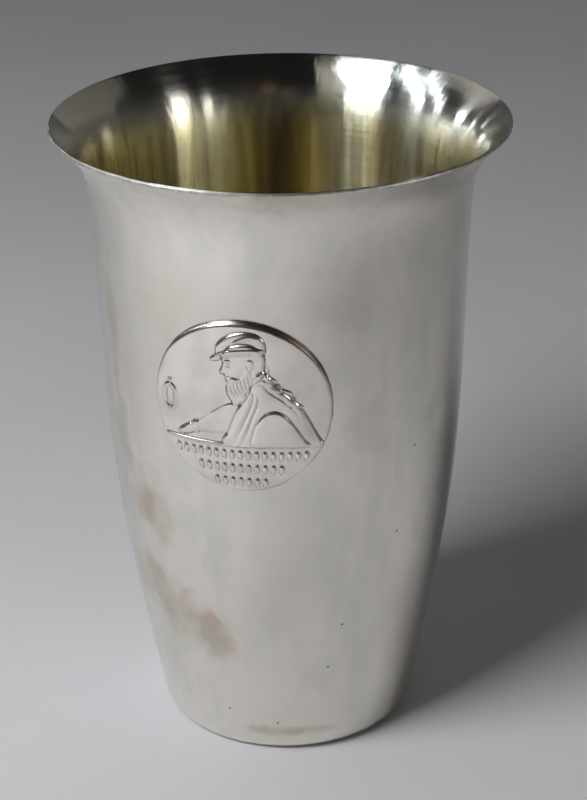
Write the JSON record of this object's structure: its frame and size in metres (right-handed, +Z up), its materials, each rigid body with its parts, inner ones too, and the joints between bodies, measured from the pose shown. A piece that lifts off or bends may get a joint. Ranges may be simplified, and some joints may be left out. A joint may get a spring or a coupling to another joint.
{
  "type": "presentation beaker",
  "caption": "Tapered silver prize beaker with a flared lip, gilt inside and a round relief medallion on the front.",
  "frame": {"origin": "centre of the flat resting face, on the cup's axis", "axes": "+Z up along the cup's axis, -Y towards the medallion on the front"},
  "size_m": [0.075, 0.075, 0.107],
  "materials": {
    "silver": "satin, softly polished, with light handling marks",
    "gilt": "bright gold wash with fine polishing lines round the inside",
    "struck_silver": "satin struck relief, slightly darker in its hollows",
    "solder": "dull"
  },
  "bodies": {
    "root": {"cup_shell": "silver", "gilt_lining": "gilt", "medallion": "struck_silver", "medallion_solder": "solder"}
  },
  "joints": []
}
